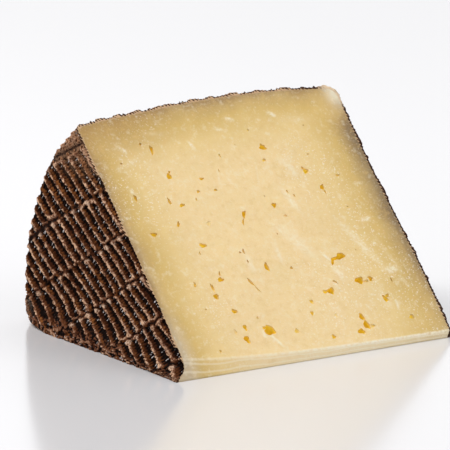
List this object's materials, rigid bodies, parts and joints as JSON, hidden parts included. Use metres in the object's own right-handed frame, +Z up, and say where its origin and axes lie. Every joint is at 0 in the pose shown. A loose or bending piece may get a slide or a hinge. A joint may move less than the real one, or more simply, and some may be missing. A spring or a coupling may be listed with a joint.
{
  "type": "cured sheep cheese wedge",
  "caption": "Wedge of cured sheep cheese lying on a cut face, with a dark mat-printed rind and a pale paste with small eyes.",
  "frame": {"origin": "middle of the footprint, on the surface that the wedge rests on", "axes": "+X along the axis of the wheel that the wedge was cut from, with the printed end that shows towards -X; +Y from the thin front edge to the rind at the back; +Z up"},
  "size_m": [0.1081, 0.0967, 0.0733],
  "materials": {
    "paste": "pale cream cured paste, slightly oily, a little see-through at the eyes",
    "rind": "dark brown oiled rind with worn tan rods, half gloss"
  },
  "bodies": {
    "root": {"cheese_wedge": "paste"}
  },
  "joints": []
}
